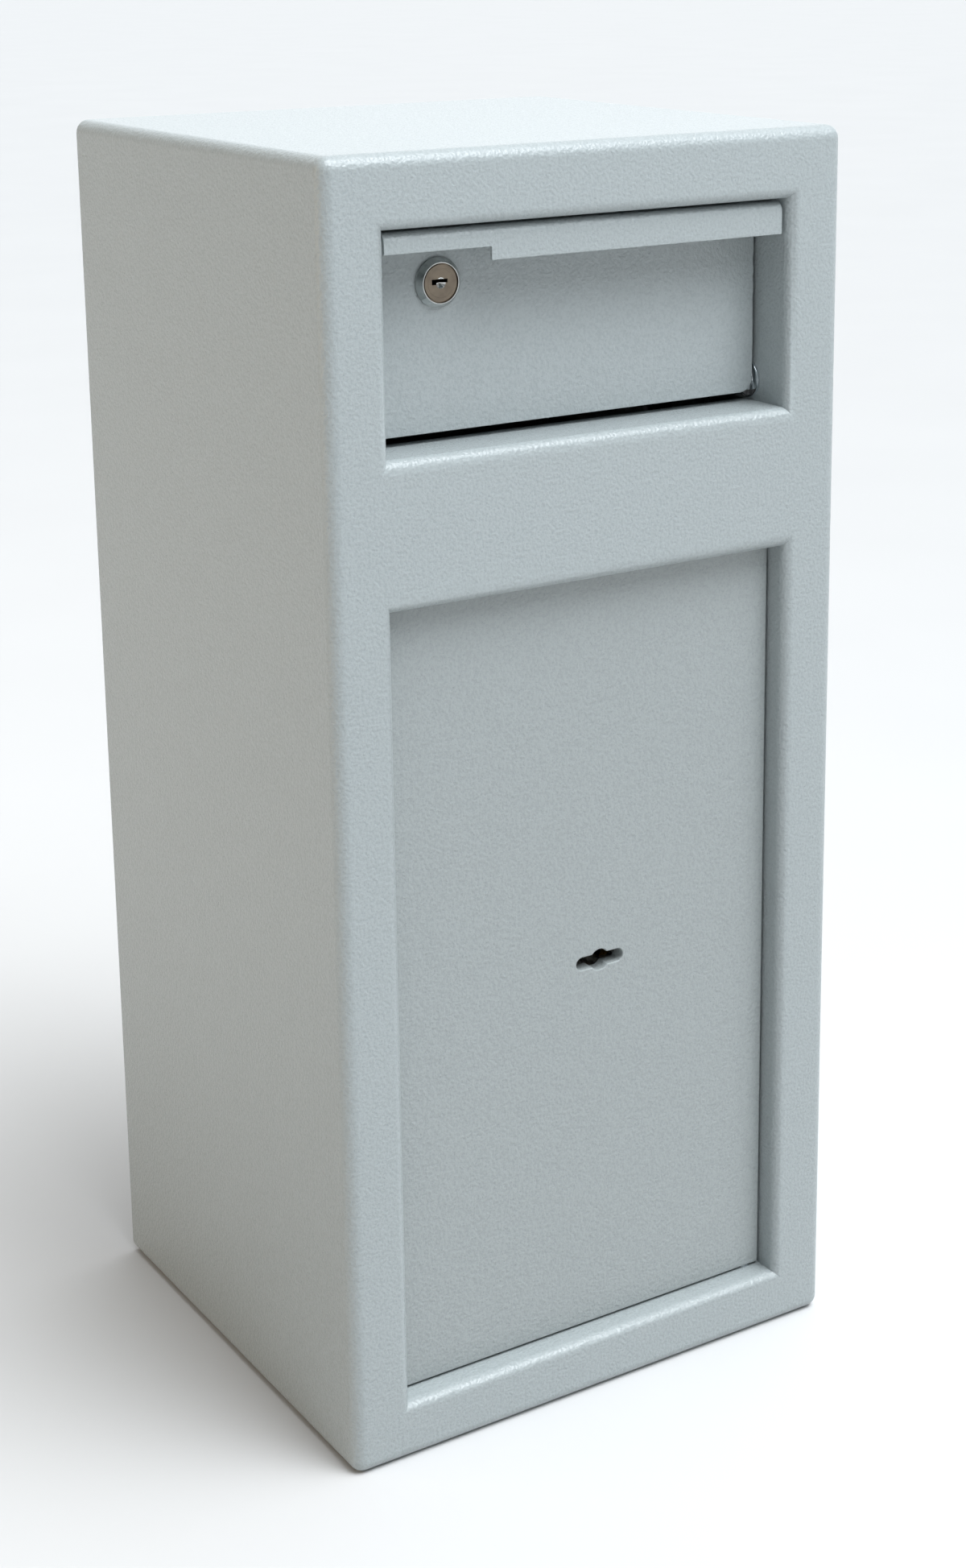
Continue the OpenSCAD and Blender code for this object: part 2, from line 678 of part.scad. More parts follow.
module lock_case() color("#8f9596") difference() {
    union() {
        difference() {
            box([case_x0, door_back, door_mid - lock_case_h / 2], [case_x1, case_back, door_mid + lock_case_h / 2]);
            box([case_x0 + case_t, door_back - eps, door_mid - lock_case_h / 2 + case_t],
                [case_x1 - case_t, case_back + eps, door_mid + lock_case_h / 2 - case_t]);
        }
        at_case_corners() translate([0, door_back, 0]) rod_y(case_post_d, case_d);
    }
    at_case_corners() translate([0, door_back - eps, 0]) rod_y(screw_d, case_d + 2 * eps);
    box([case_x0 - eps, tail_y - tail_slack, door_mid - tail_h / 2 - tail_slack],
        [case_x0 + case_t + eps, tail_y + tail_t + tail_slack, door_mid + tail_h / 2 + tail_slack]);
}

// Places its children at the lock case's four corner posts
module at_case_corners() {
    for (x = [case_x0 + case_post_in, case_x1 - case_post_in], z = [-1, 1])
        translate([x, 0, door_mid + z * (lock_case_h / 2 - case_post_in)]) children();
}

module lock_case_cover() color("#8f9596") difference() {
    box([case_x0, case_back, door_mid - lock_case_h / 2], [case_x1, case_back + case_t, door_mid + lock_case_h / 2]);
    translate([key_x, case_back - eps, door_mid]) rod_y(curtain_tube_d + 2 * run_gap, case_t + 2 * eps);
    at_case_corners() translate([0, case_back - eps, 0]) rod_y(screw_d, case_t + 2 * eps);
}

module lock_case_screws() color("#b9bcbc") at_case_corners()
    translate([0, case_back + case_t + screw_head_t, 0]) mirror([0, 1, 0]) screw(case_t + case_d);

module lever_pivot() color("#b9bcbc") translate([lever_axis_x, door_back, door_mid]) rod_y(lever_pivot_d, case_d);

module boltwork_cover() color("#9aa1a2") difference() {
    union() {
        difference() {
            box([cover_x0, door_back, boltwork_low], [cover_x1, cover_back + cover_t, boltwork_top]);
            box([cover_x0 - eps, door_back - eps, boltwork_low + cover_t],
                [cover_x1 - cover_t, cover_back, boltwork_top - cover_t]);
        }
        for (z = [boltwork_low - cover_flange, boltwork_top])
            box([cover_x0, door_back, z], [cover_x1, door_back + cover_t, z + cover_flange]);
    }
    at_cover_screws() translate([0, door_back - eps, 0]) rod_y(screw_d, cover_t + 2 * eps);
}

// Places its children at the boltwork cover's four screws
module at_cover_screws() {
    for (x = [cover_x0 + cover_screw_in, cover_x1 - cover_screw_in],
         z = [boltwork_low - cover_flange / 2, boltwork_top + cover_flange / 2])
        translate([x, 0, z]) children();
}

module boltwork_cover_screws() color("#b9bcbc") at_cover_screws()
    translate([0, door_back + cover_t + screw_head_t, 0]) mirror([0, 1, 0]) screw(cover_t);

// boltwork

module bolt_bar() color("#b9bcbc")
    box([bolt_bar_x, bolt_axis_y - bolt_d / 2, door_mid - bolt_rise - bolt_d],
        [bolt_bar_x + bolt_bar_t, bolt_axis_y + bolt_d / 2, door_mid + bolt_rise + bolt_d]);

module locking_bolts() color("#c4c6c4")
    for (z = bolt_heights) translate([tip_x, bolt_axis_y, z]) {
        translate([bolt_point, 0, 0]) rod_x(bolt_d, bolt_bar_x - tip_x - bolt_point);
        rotate([0, 90, 0]) cylinder(h = bolt_point, d1 = bolt_point_d, d2 = bolt_d);
    }

module lock_bolt_tail() color("#c9a24a") {
    tail_end = key_x - keyhole_l / 2 - tail_key_gap;
    box([bolt_bar_x + bolt_bar_t, tail_y, door_mid - tail_h / 2], [tail_end, tail_y + tail_t, door_mid + tail_h / 2]);
    box([stump_x, tail_y + tail_t, door_mid - stump_s / 2],
        [stump_x + stump_s, case_back - stump_gap, door_mid + stump_s / 2]);
}

module key_curtain() color("#c9a24a") translate([key_x, 0, door_mid]) difference() {
    union() {
        translate([0, door_back + layer_gap, 0]) rod_y(curtain_d, curtain_t);
        translate([0, door_back + layer_gap, 0]) rod_y(curtain_tube_d, case_d + case_t - layer_gap);
    }
    translate([0, door_back, 0]) keyhole(case_d + case_t - curtain_blind);
}

module lock_levers() color("#c9a24a")
    for (i = [0 : lever_count - 1]) translate([0, levers_y + i * lever_pitch, 0]) difference() {
        box([stump_x - bolt_throw - stump_s, 0, door_mid - lever_drop],
            [lever_axis_x + lever_end, lever_t, door_mid + lever_rise]);
        translate([key_x, -eps, door_mid]) rod_y(curtain_d, lever_t + 2 * eps);
        translate([lever_axis_x, -eps, door_mid]) rod_y(lever_pivot_d + 2 * run_gap, lever_t + 2 * eps);
        box([stump_x - bolt_throw - gate_gap, -eps, door_mid - stump_s / 2 - lever_rise],
            [stump_x + stump_s + gate_gap, lever_t + eps, door_mid + stump_s / 2 + gate_gap]);
    }

casing_wrap();
front_panel();
back_panel();
base_plate();
hopper_baffle();
cam_keeper();
door_stop_frame();
door_hinge_pins();
door_thrust_washer();
hopper_pivot_pins();
hopper_pivot_washers();
hopper_pivot_nuts();
hopper_rest_pegs();
hopper_rest_sleeves();
hopper_flap();
hopper_left_cheek();
hopper_right_cheek();
hopper_rear_plate();
flap_lock_barrel();
flap_lock_nut();
flap_lock_plug();
flap_lock_cam();
flap_lock_screw();
door_plate();
hinge_side_dead_bar();
bolt_guides();
bolt_guide_screws();
lock_case();
lock_case_cover();
lock_case_screws();
lever_pivot();
boltwork_cover();
boltwork_cover_screws();
bolt_bar();
locking_bolts();
lock_bolt_tail();
key_curtain();
lock_levers();
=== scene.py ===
import math
import random
import bpy
import bmesh
from mathutils import Matrix, Vector


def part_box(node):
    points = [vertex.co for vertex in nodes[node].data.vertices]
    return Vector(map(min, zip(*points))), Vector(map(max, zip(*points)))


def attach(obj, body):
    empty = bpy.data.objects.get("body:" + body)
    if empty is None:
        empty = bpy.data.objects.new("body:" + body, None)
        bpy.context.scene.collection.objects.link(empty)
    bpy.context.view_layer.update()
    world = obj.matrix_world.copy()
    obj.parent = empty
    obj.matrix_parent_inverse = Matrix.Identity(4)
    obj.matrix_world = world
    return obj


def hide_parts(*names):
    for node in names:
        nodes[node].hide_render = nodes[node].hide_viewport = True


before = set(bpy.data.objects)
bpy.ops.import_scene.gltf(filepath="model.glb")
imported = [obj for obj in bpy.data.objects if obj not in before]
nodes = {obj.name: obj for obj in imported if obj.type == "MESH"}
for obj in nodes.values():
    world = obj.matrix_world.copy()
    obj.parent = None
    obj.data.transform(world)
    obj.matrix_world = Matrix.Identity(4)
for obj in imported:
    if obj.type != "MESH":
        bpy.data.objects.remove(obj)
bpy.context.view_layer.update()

mm = 0.001
weldGap = 0.005 * mm         # vertices closer than this are one
overrun = 5.0 * mm           # how far a cutter sticks out of what it cuts
squareOn = 0.9               # a normal's share along an axis, past which a face looks that way
print("book drop box: frame loaded with", len(nodes), "nodes")


def deselectAll():
    if bpy.context.object and bpy.context.object.mode == "EDIT":
        bpy.ops.object.mode_set(mode="OBJECT")
    bpy.ops.object.select_all(action="DESELECT")


def pick(piece):
    deselectAll()
    bpy.context.view_layer.objects.active = piece
    piece.select_set(True)


def startEdit(piece, mode="FACE"):
    pick(piece)
    bpy.ops.object.mode_set(mode="EDIT")
    bpy.ops.mesh.select_mode(type=mode)
    bpy.ops.mesh.select_all(action="DESELECT")


def endEdit():
    bpy.ops.object.mode_set(mode="OBJECT")


def choose(kind, test):
    # selects the faces, edges or vertices of the open mesh that pass a test on their middle
    mesh = bmesh.from_edit_mesh(bpy.context.object.data)
    bpy.ops.mesh.select_all(action="DESELECT")
    if kind == "VERT":
        found = [v for v in mesh.verts if test(v.co, v)]
    elif kind == "EDGE":
        found = [e for e in mesh.edges if test((e.verts[0].co + e.verts[1].co) / 2, e)]
    else:
        found = [f for f in mesh.faces if test(f.calc_center_median(), f)]
    for part in found:
        part.select = True
    mesh.select_flush_mode()
    bmesh.update_edit_mesh(bpy.context.object.data)


def near(a, b, slack=0.05 * mm):
    return abs(a - b) < slack


def lies(edge, axis, value):
    # both ends of an edge lie in the plane where the axis has this value
    return all(near(v.co[axis], value) for v in edge.verts)


def pull(x=0.0, y=0.0, z=0.0):
    bpy.ops.mesh.extrude_region_move(TRANSFORM_OT_translate={"value": (x, y, z)})


def addModifier(piece, kind, **settings):
    pick(piece)
    modifier = piece.modifiers.new(kind.title(), kind)
    for key, value in settings.items():
        setattr(modifier, key, value)
    bpy.ops.object.modifier_apply(modifier=modifier.name)


def settle(piece):
    # puts the piece's place into its mesh
    pick(piece)
    bpy.ops.object.transform_apply(location=True, rotation=True, scale=True)


def newCube(low, high, name="block"):
    deselectAll()
    low, high = Vector(low), Vector(high)
    bpy.ops.mesh.primitive_cube_add(size=1, location=(low + high) / 2, scale=high - low)
    piece = bpy.context.object
    piece.name = name
    settle(piece)
    return piece


def newRod(start, length, radius, axis="Y", sides=48, topRadius=None, name="rod"):
    # a round bar or cone that starts at a point and runs along an axis
    deselectAll()
    turn = {"Y": (-math.pi / 2, 0, 0), "X": (0, math.pi / 2, 0), "Z": (0, 0, 0)}[axis]
    step = {"Y": Vector((0, 1, 0)), "X": Vector((1, 0, 0)), "Z": Vector((0, 0, 1))}[axis]
    bpy.ops.mesh.primitive_cone_add(vertices=sides, radius1=radius, depth=length, rotation=turn,
                                    radius2=radius if topRadius is None else topRadius,
                                    location=Vector(start) + step * (length / 2))
    piece = bpy.context.object
    piece.name = name
    settle(piece)
    return piece


def cutAway(piece, cutters):
    # cuts each cutter out of the piece, and removes the cutter
    for cutter in cutters:
        addModifier(piece, "BOOLEAN", operation="DIFFERENCE", object=cutter, solver="EXACT")
        bpy.data.objects.remove(cutter)


def joinUp(piece, others):
    pick(piece)
    for other in others:
        other.select_set(True)
    bpy.ops.object.join()


def softenEdges(piece, width, segments=2, angle=35):
    addModifier(piece, "BEVEL", width=width, segments=segments, limit_method="ANGLE",
                angle_limit=math.radians(angle), use_clamp_overlap=True, miter_outer="MITER_ARC")


def smooth(piece, angle=40):
    pick(piece)
    bpy.ops.object.shade_smooth_by_angle(angle=math.radians(angle))
    addModifier(piece, "WEIGHTED_NORMAL", keep_sharp=True, weight=80)


def finish(piece, name, material, body, replaced=(), angle=40):
    # closes the mesh, smooths it, gives it its name and finish, and hands it to its body
    settle(piece)
    startEdit(piece, "VERT")
    bpy.ops.mesh.select_all(action="SELECT")
    bpy.ops.mesh.remove_doubles(threshold=weldGap)
    bpy.ops.mesh.normals_make_consistent(inside=False)
    endEdit()
    smooth(piece, angle)
    piece.name = name
    piece.data.name = name
    piece.data.materials.clear()
    for entry in material if isinstance(material, (list, tuple)) else [material]:
        piece.data.materials.append(entry)
    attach(piece, body)
    if replaced:
        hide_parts(*replaced)
    deselectAll()
    return piece


def linear(hexColour):
    # sRGB hex to the linear colour that the shader wants
    def channel(text):
        value = int(text, 16) / 255
        return value / 12.92 if value <= 0.04045 else ((value + 0.055) / 1.055) ** 2.4
    return (channel(hexColour[1:3]), channel(hexColour[3:5]), channel(hexColour[5:7]), 1.0)


def addNode(material, kind, settings=None, links=None):
    # one node, its settings, and where each of its inputs comes from
    node = material.node_tree.nodes.new(kind)
    for key, value in (settings or {}).items():
        if key == "stops":
            for element, (position, colour) in zip(node.color_ramp.elements, value):
                element.position = position
                element.color = linear(colour)
        elif isinstance(key, int) or key in node.inputs:
            node.inputs[key].default_value = value
        else:
            setattr(node, key, value)
    for socket, source in (links or {}).items():
        material.node_tree.links.new(source, node.inputs[socket])
    return node


def newMaterial(name):
    material = bpy.data.materials.new(name)
    material.use_nodes = True
    material.node_tree.nodes.clear()
    place = addNode(material, "ShaderNodeTexCoord").outputs["Object"]
    return material, place


coatSettings = {
    "peel": 1.7 * mm,         # between the bumps of the textured powder coat
    "grit": 0.75 * mm,        # the finer grain on top of them
    "wave": 60.0 * mm,        # slow unevenness of the folded sheet
    "peelDepth": 0.42 * mm,
    "gritDepth": 0.06 * mm,
    "waveDepth": 0.9 * mm,
    "waveStrength": 0.35,
    "roughness": 0.26,
    "roughnessSpread": 0.10,
}


def powderCoat(name, hexColour, hexLow):
    # textured polyester powder coat, sprayed and baked: a fine orange peel that breaks up
    # the gloss into small glints, and softens every fold
    s = coatSettings
    material, place = newMaterial(name)
    peel = addNode(material, "ShaderNodeTexNoise",
                   {"Scale": 1 / s["peel"], "Detail": 1.0, "Roughness": 0.45},
                   {"Vector": place}).outputs["Fac"]
    grit = addNode(material, "ShaderNodeTexNoise", {"Scale": 1 / s["grit"], "Detail": 2.0},
                   {"Vector": place}).outputs["Fac"]
    wave = addNode(material, "ShaderNodeTexNoise", {"Scale": 1 / s["wave"], "Detail": 1.0},
                   {"Vector": place}).outputs["Fac"]
    slow = addNode(material, "ShaderNodeBump", {"Strength": s["waveStrength"], "Distance": s["waveDepth"]},
                   {"Height": wave})
    peelBump = addNode(material, "ShaderNodeBump", {"Strength": 1.0, "Distance": s["peelDepth"]},
                       {"Height": peel, "Normal": slow.outputs["Normal"]})
    gritBump = addNode(material, "ShaderNodeBump", {"Strength": 1.0, "Distance": s["gritDepth"]},
                       {"Height": grit, "Normal": peelBump.outputs["Normal"]})
    tint = addNode(material, "ShaderNodeValToRGB", {"stops": [(0.34, hexLow), (0.58, hexColour)]},
                   {"Fac": peel})
    gloss = addNode(material, "ShaderNodeMapRange",
                    {"From Min": 0.3, "From Max": 0.7, "To Min": s["roughness"],
                     "To Max": s["roughness"] + s["roughnessSpread"]}, {"Value": grit})
    shader = addNode(material, "ShaderNodeBsdfPrincipled", {"IOR": 1.5},
                     {"Base Color": tint.outputs["Color"], "Roughness": gloss.outputs["Result"],
                      "Normal": gritBump.outputs["Normal"]})
    addNode(material, "ShaderNodeOutputMaterial", links={"Surface": shader.outputs["BSDF"]})
    return material


metalSettings = {
    "cloud": 7.0 * mm,        # size of the faint stains in the plating
    "grainDepth": 0.02 * mm,
    "shinier": 0.05,          # how far the stains change the roughness, down and up
    "duller": 0.10,
}


def brightMetal(name, hexColour, hexStain, roughness, grain):
    # electroplated or ground metal: faint cloudy stains break up a clear reflection, and a
    # fine grain of this many mm keeps the highlights soft
    s = metalSettings
    material, place = newMaterial(name)
    cloud = addNode(material, "ShaderNodeTexNoise", {"Scale": 1 / s["cloud"], "Detail": 3.0},
                    {"Vector": place}).outputs["Fac"]
    fine = addNode(material, "ShaderNodeTexNoise", {"Scale": 1 / (grain * mm), "Detail": 2.0},
                   {"Vector": place}).outputs["Fac"]
    tint = addNode(material, "ShaderNodeValToRGB", {"stops": [(0.35, hexStain), (0.6, hexColour)]},
                   {"Fac": cloud})
    gloss = addNode(material, "ShaderNodeMapRange",
                    {"From Min": 0.3, "From Max": 0.7, "To Min": roughness - s["shinier"],
                     "To Max": roughness + s["duller"]}, {"Value": cloud})
    bump = addNode(material, "ShaderNodeBump", {"Strength": 0.5, "Distance": s["grainDepth"]},
                   {"Height": fine})
    shader = addNode(material, "ShaderNodeBsdfPrincipled", {"Metallic": 1.0},
                     {"Base Color": tint.outputs["Color"], "Roughness": gloss.outputs["Result"],
                      "Normal": bump.outputs["Normal"]})
    addNode(material, "ShaderNodeOutputMaterial", links={"Surface": shader.outputs["BSDF"]})
    return material


rubberSettings = {
    "bloom": 4.0 * mm,        # size of the pale bloom on old rubber
    "bloomDepth": 0.05 * mm,
    "roughness": 0.75,
}


def mouldedRubber(name, hexColour, hexWorn):
    # black nitrile sleeve, moulded: matt, with a faint bloom
    s = rubberSettings
    material, place = newMaterial(name)
    bloom = addNode(material, "ShaderNodeTexNoise", {"Scale": 1 / s["bloom"], "Detail": 4.0},
                    {"Vector": place}).outputs["Fac"]
    tint = addNode(material, "ShaderNodeValToRGB", {"stops": [(0.4, hexColour), (0.7, hexWorn)]},
                   {"Fac": bloom})
    bump = addNode(material, "ShaderNodeBump", {"Strength": 0.4, "Distance": s["bloomDepth"]},
                   {"Height": bloom})
    shader = addNode(material, "ShaderNodeBsdfPrincipled", {"Roughness": s["roughness"], "IOR": 1.52},
                     {"Base Color": tint.outputs["Color"], "Normal": bump.outputs["Normal"]})
    addNode(material, "ShaderNodeOutputMaterial", links={"Surface": shader.outputs["BSDF"]})
    return material


# pale blue-grey coat of the cabinet and hopper, and a darker copy of the same coat for the door and its
# parts, with the shade of the door's recess painted into its colour
coatCabinet = powderCoat("textured_powder_coat", "#A0A7A8", "#9AA1A2")
coatDoorPaintedShade = powderCoat("door_powder_coat_painted_shade", "#999F9F", "#949A9A")
# bluish zinc of the fixings, and greyer bare steel of the bolts
zincPlate = brightMetal("bright_zinc_plate", "#C9CED2", "#A9AFB3", 0.30, 0.4)
groundSteel = brightMetal("ground_steel_bar", "#B4B4B0", "#9A9A96", 0.24, 0.25)
# the lock: a bright collar round a warm, duller face, with a polished cone in its middle
collarNickel = brightMetal("bright_nickel_collar", "#C2C4C2", "#ADAFAD", 0.14, 0.3)
faceNickel = brightMetal("satin_nickel_face", "#877C6E", "#786E62", 0.34, 0.2)
coneNickel = brightMetal("polished_nickel_cone", "#F4F4F2", "#E4E4E2", 0.12, 0.3)
# zinc of the pivot washers, paler than the other zinc: a painted highlight, so they glint in the shade of
# the hopper
washerZincPaintedHighlight = brightMetal("zinc_washer_painted_highlight", "#EDF1F4", "#D5DADD", 0.16, 0.4)
# yellow brass of the levers and the bolt's tail, and the matt black sleeves
sawnBrass = brightMetal("sawn_brass", "#C9A65A", "#A9873F", 0.32, 0.3)
blackRubber = mouldedRubber("black_rubber", "#1B1C1D", "#2A2B2C")
print("materials made")


panelLow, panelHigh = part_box("front_panel")
wrapLow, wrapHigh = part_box("casing_wrap")
doorLow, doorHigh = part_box("door_plate")
stopLow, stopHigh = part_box("door_stop_frame")
flapLow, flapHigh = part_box("hopper_flap")
front = panelLow.y
keyLow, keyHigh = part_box("key_curtain")
keyMid = (keyLow + keyHigh) / 2
lockLow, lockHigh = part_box("flap_lock_barrel")
lockMid = (lockLow + lockHigh) / 2


shellSettings = {
    "sheet": 3.0 * mm,
    "edgeRadius": 7.0 * mm,                # the casing's four long edges and the front's edges
    "rimRadius": 6.0 * mm,                 # rolled rim of the two openings
    "hopperFlange": panelHigh.y - front,   # how deep the hopper's top and sides turn in
    "sill": 37.0 * mm,                     # how deep the hopper's sill turns in
    "doorFlange": 26.0 * mm,
    "hopperHeight": 107.0 * mm,
    "topMargin": 35.5 * mm,                # from the casing's top to the hopper opening
    "bottomFlange": 18.0 * mm,             # flanges under the casing that hold the base plate
    "frontReturn": 20.0 * mm,
    "firstInset": 20.0 * mm,               # inset that is then sized to the opening
    "roundSteps": 6,
}


def buildShell(s):
    half = wrapHigh.x
    openHalf = -stopLow.x
    hopperTop = wrapHigh.z - s["topMargin"]
    hopperBottom = hopperTop - s["hopperHeight"]
    openings = {
        "hopper": (Vector((-openHalf, front, hopperBottom)), Vector((openHalf, front, hopperTop))),
        "door": (Vector((-openHalf, front, stopLow.z)), Vector((openHalf, front, stopHigh.z))),
    }
    shell = newCube((wrapLow.x, front, wrapLow.z), wrapHigh, "shell")

    # round the front and the four long edges, leave the back open
    startEdit(shell, "EDGE")
    choose("EDGE", lambda c, e: near(c.y, front) or near(c.y, (front + wrapHigh.y) / 2))
    bpy.ops.mesh.bevel(offset=s["edgeRadius"], segments=s["roundSteps"], profile=0.5, affect="EDGES")
    bpy.ops.mesh.select_mode(type="FACE")
    choose("FACE", lambda c, f: near(c.y, wrapHigh.y))
    bpy.ops.mesh.delete(type="FACE")

    # the underside is open between the turned-in flanges, where the base plate sits
    flangeX = half - s["edgeRadius"] - s["bottomFlange"]
    for point, normal in (((flangeX, 0, 0), (1, 0, 0)), ((-flangeX, 0, 0), (1, 0, 0)),
                          ((0, front + s["frontReturn"], 0), (0, 1, 0))):
        choose("FACE", lambda c, f: near(c.z, wrapLow.z) and f.normal.z < -squareOn)
        bpy.ops.mesh.bisect(plane_co=point, plane_no=normal)
    choose("FACE", lambda c, f: near(c.z, wrapLow.z) and abs(c.x) < flangeX
           and c.y > front + s["frontReturn"])
    bpy.ops.mesh.delete(type="FACE")

    # split the front between the openings, then inset each half to its opening
    bandMid = (hopperBottom + stopHigh.z) / 2
    choose("FACE", lambda c, f: near(c.y, front) and f.normal.y < -squareOn)
    bpy.ops.mesh.bisect(plane_co=(0, 0, bandMid), plane_no=(0, 0, 1))
    for name, (low, high) in openings.items():
        above = name == "hopper"
        choose("FACE", lambda c, f: near(c.y, front) and f.normal.y < -squareOn and (c.z > bandMid) == above)
        bpy.ops.mesh.inset(thickness=s["firstInset"], depth=0)
        mesh = bmesh.from_edit_mesh(shell.data)
        inner = [v for v in mesh.verts if v.select]
        left, right = min(v.co.x for v in inner), max(v.co.x for v in inner)
        bottom, top = min(v.co.z for v in inner), max(v.co.z for v in inner)
        middle = Vector(((left + right) / 2, front, (bottom + top) / 2))
        grow = ((high.x - low.x) / (right - left), 1, (high.z - low.z) / (top - bottom))
        bpy.ops.transform.resize(value=grow, center_override=middle)
        bpy.ops.transform.translate(value=(low + high) / 2 - middle)
        pull(y=s["sill"] if above else s["doorFlange"])
        bpy.ops.mesh.delete(type="FACE")

    # the hopper's top and side flanges are deeper than its sill
    bpy.ops.mesh.select_mode(type="EDGE")
    choose("EDGE", lambda c, e: lies(e, 1, front + s["sill"]) and c.z > hopperBottom + 1 * mm)
    pull(y=s["hopperFlange"] - s["sill"])

    # rolled rims, mitred at the corners because each corner keeps its diagonal edge
    def onRim(c, e):
        if not lies(e, 1, front):
            return False
        for low, high in openings.values():
            if low.z - weldGap < c.z < high.z + weldGap:
                if lies(e, 0, low.x) or lies(e, 0, high.x) or lies(e, 2, low.z) or lies(e, 2, high.z):
                    return True
        return False
    choose("EDGE", onRim)
    bpy.ops.mesh.bevel(offset=s["rimRadius"], segments=s["roundSteps"], profile=0.5, affect="EDGES")
    endEdit()
    addModifier(shell, "SOLIDIFY", thickness=s["sheet"], offset=-1, use_even_offset=True)
    return shell


shell = buildShell(shellSettings)
finish(shell, "cabinet_shell", coatCabinet, "cabinet", ("front_panel", "casing_wrap"), 35)
print("cabinet shell folded")


flapSettings = {
    "sheet": 2.0 * mm,
    "foldRadius": 3.0 * mm,
    "cornerRadius": 8.0 * mm,
    "lipDrop": 14.5 * mm,      # how far the lip hangs down
    "lipStep": 6.5 * mm,       # how much less it hangs at its left end
    "lipStepWidth": 58.0 * mm,
    "roughCut": 0.28 * mm,     # how far the sheared edge wanders
    "roughPoints": 26,
    "roughSeed": 7,
    "cleanBelow": 8.0 * mm,    # the edge runs straight into the corners below and above
    "cleanAbove": 6.0 * mm,
    "edgeBevel": 0.45 * mm,
    "lockHole": 9.02 * mm,     # radius, a hair over the lock's barrel
}


def buildFlap(s):
    faceY = flapHigh.y - s["sheet"]
    half, low, high, lipY = flapHigh.x, flapLow.z, flapHigh.z, flapLow.y
    deselectAll()
    bpy.ops.mesh.primitive_plane_add(size=1, rotation=(math.pi / 2, 0, 0),
                                     location=(0, faceY, (low + high) / 2))
    flap = bpy.context.object
    flap.scale = (2 * half, high - low, 1)
    settle(flap)
    stepX = -half + s["lipStepWidth"]
    startEdit(flap, "EDGE")
    bpy.ops.mesh.select_all(action="SELECT")
    bpy.ops.mesh.bisect(plane_co=(stepX, 0, 0), plane_no=(1, 0, 0))
    choose("EDGE", lambda c, e: lies(e, 2, high))
    pull(y=lipY - faceY)
    pull(z=-(s["lipDrop"] - s["lipStep"]))
    lipEnd = high - s["lipDrop"] + s["lipStep"]
    choose("EDGE", lambda c, e: lies(e, 1, lipY) and lies(e, 2, lipEnd) and c.x > stepX)
    pull(z=-s["lipStep"])
    choose("EDGE", lambda c, e: lies(e, 2, high) and (lies(e, 1, lipY) or lies(e, 1, faceY)))
    bpy.ops.mesh.bevel(offset=s["foldRadius"], segments=5, profile=0.5, affect="EDGES")
    # round the flap's lower corners
    bpy.ops.mesh.select_mode(type="VERT")
    choose("VERT", lambda c, v: near(c.z, low) and near(abs(c.x), half))
    bpy.ops.mesh.bevel(offset=s["cornerRadius"], segments=6, affect="VERTICES")
    # the long side edges were sheared, and wander a little
    bpy.ops.mesh.select_mode(type="EDGE")
    choose("EDGE", lambda c, e: near(abs(c.x), half) and near(c.y, faceY)
           and e.calc_length() > (high - low) / 2)
    bpy.ops.mesh.subdivide(number_cuts=s["roughPoints"])
    random.seed(s["roughSeed"])
    mesh = bmesh.from_edit_mesh(flap.data)
    for v in sorted(mesh.verts, key=lambda v: (v.co.x, v.co.z)):
        between = low + s["cleanBelow"] < v.co.z < high - s["cleanAbove"]
        if near(abs(v.co.x), half) and near(v.co.y, faceY) and between:
            v.co.x -= math.copysign(abs(random.gauss(0, s["roughCut"])), v.co.x)
    bmesh.update_edit_mesh(flap.data)
    bpy.ops.mesh.select_all(action="SELECT")
    bpy.ops.mesh.normals_make_consistent(inside=False)
    endEdit()
    # the flap's face must be the plane's outer side, so the sheet grows backwards
    faceNormal = [p.normal.y for p in flap.data.polygons if near(p.center.y, faceY)][0]
    side = -1 if faceNormal < 0 else 1
    addModifier(flap, "SOLIDIFY", thickness=s["sheet"], offset=side, use_even_offset=True)
    softenEdges(flap, s["edgeBevel"], 2, 50)
    hole = newRod((lockMid.x, faceY - overrun, lockMid.z), s["sheet"] + 2 * overrun, s["lockHole"],
                  name="lock_hole")
    cutAway(flap, [hole])
    return flap


flap = buildFlap(flapSettings)
finish(flap, "hopper_flap_sheet", coatCabinet, "hopper", ("hopper_flap",), 40)
print("hopper flap folded")


lockSettings = {
    "faceRadius": 10.0 * mm,
    "barrelRadius": 9.0 * mm,
    "edge": 1.2 * mm,            # straight edge against the flap
    "grooveIn": 0.45 * mm,       # width of the bright rim round the face
    "grooveWidth": 0.7 * mm,
    "grooveDepth": 1.3 * mm,
    "grooveWall": 0.02 * mm,     # slant of the groove's outer wall
    "plugRadius": 7.0 * mm,
    "plugGap": 0.03 * mm,
    "faceIn": 0.25 * mm,         # the face lies a little below the rim
    "keyRound": 2.6 * mm,        # bright cone round the keyway
    "keyDish": 1.9 * mm,
    "keyPoint": 0.05 * mm,       # radius of the cone's blunt point
    "slotLong": 8.6 * mm,
    "slotHigh": 1.8 * mm,
    "slotShift": 0.6 * mm,       # how far the keyway lies left of the middle
    "slotRise": 0.1 * mm,
    "slotDeep": 18.0 * mm,
    "wardEnd": 0.2,              # the ward stops this part of the keyway's length short of its middle
    "wardDown": 0.8 * mm,
    "wardUp": 0.4 * mm,
    "rimBevel": 0.22 * mm,
    "plugBevel": 0.06 * mm,
    "faceBack": 3.0 * mm,        # how far back the face's own finish reaches
}


def stepIn(thickness, depth):
    # insets the chosen face, and pushes it in or out
    bpy.ops.mesh.inset(thickness=thickness, depth=0)
    if depth:
        pull(y=depth)


